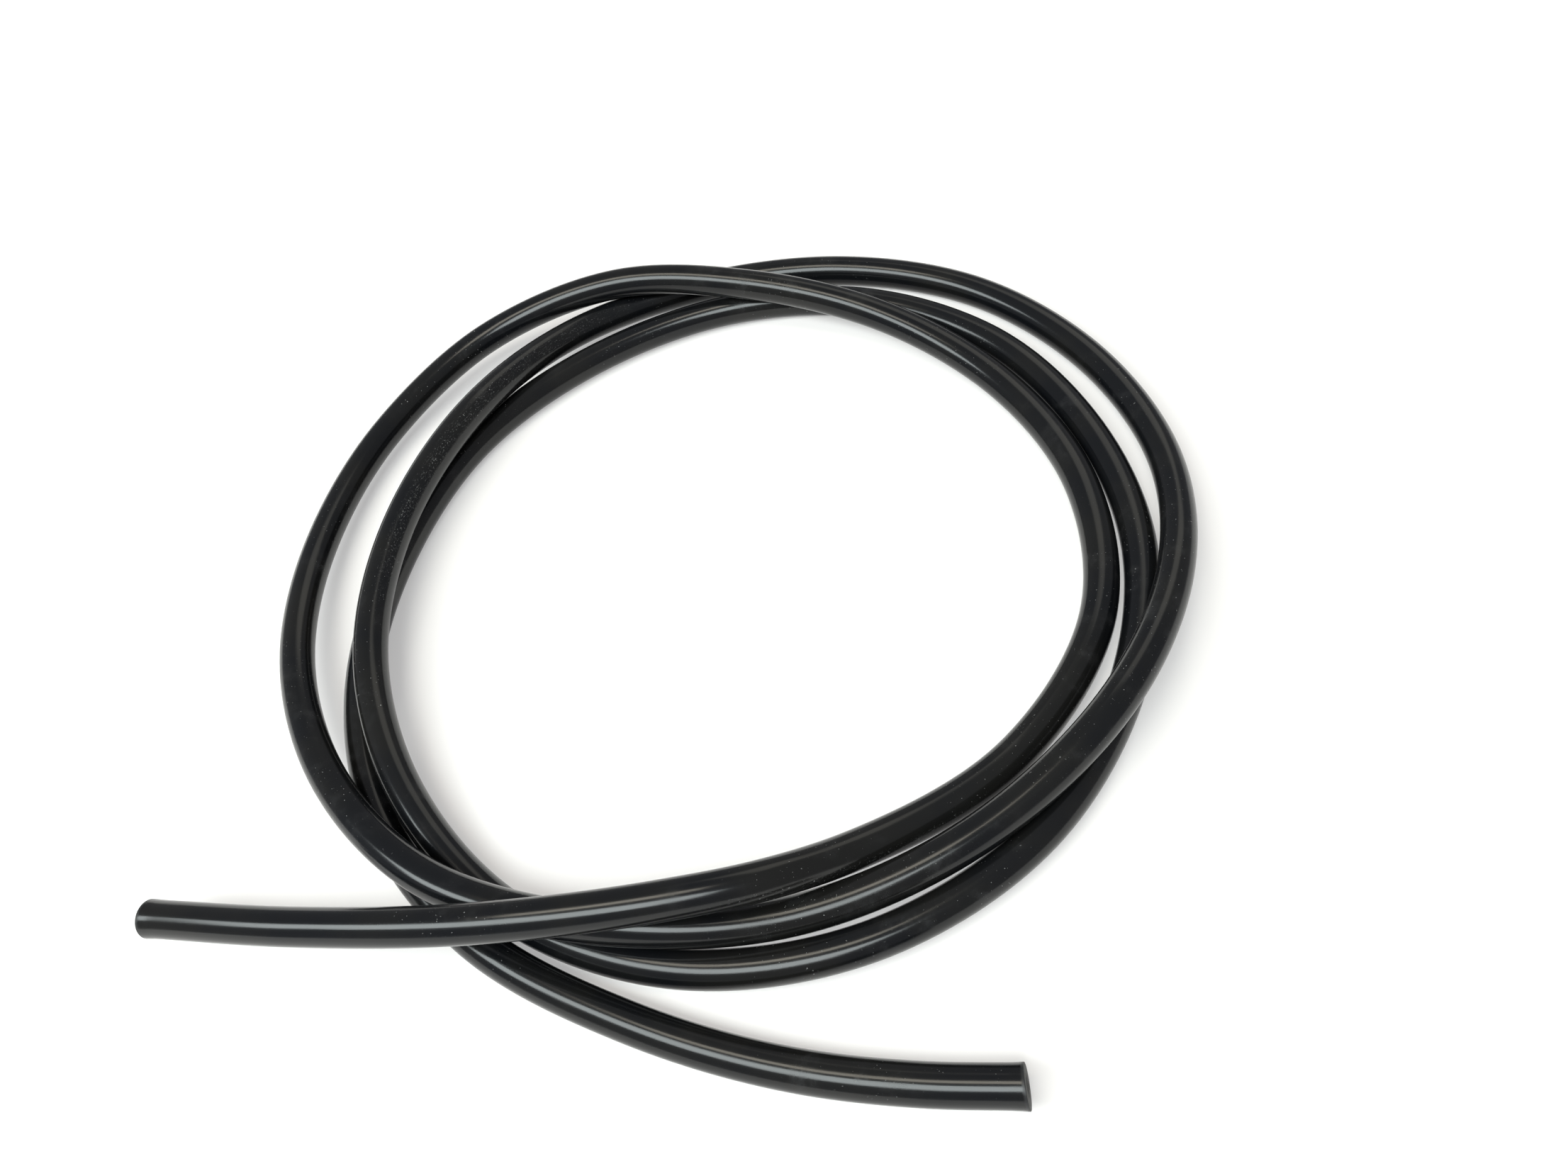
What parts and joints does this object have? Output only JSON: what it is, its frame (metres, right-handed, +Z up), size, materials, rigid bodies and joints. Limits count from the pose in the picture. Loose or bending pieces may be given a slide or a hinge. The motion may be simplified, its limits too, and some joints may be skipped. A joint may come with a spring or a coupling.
{
  "type": "silicone vacuum hose",
  "caption": "Length of round rubber hose with a plain bore and square-cut ends, lying in loose overlapping turns on a flat surface.",
  "frame": {"origin": "centre of the bounding box in plan, on the surface that the hose lies on", "axes": "+Z up from the surface, +Y away from the two cut ends, +X towards the lower cut end"},
  "size_m": [0.2472, 0.2435, 0.0248],
  "materials": {
    "silicone": "smooth glossy near-black silicone rubber with a little dust"
  },
  "bodies": {
    "root": {"hose": "silicone"}
  },
  "joints": []
}
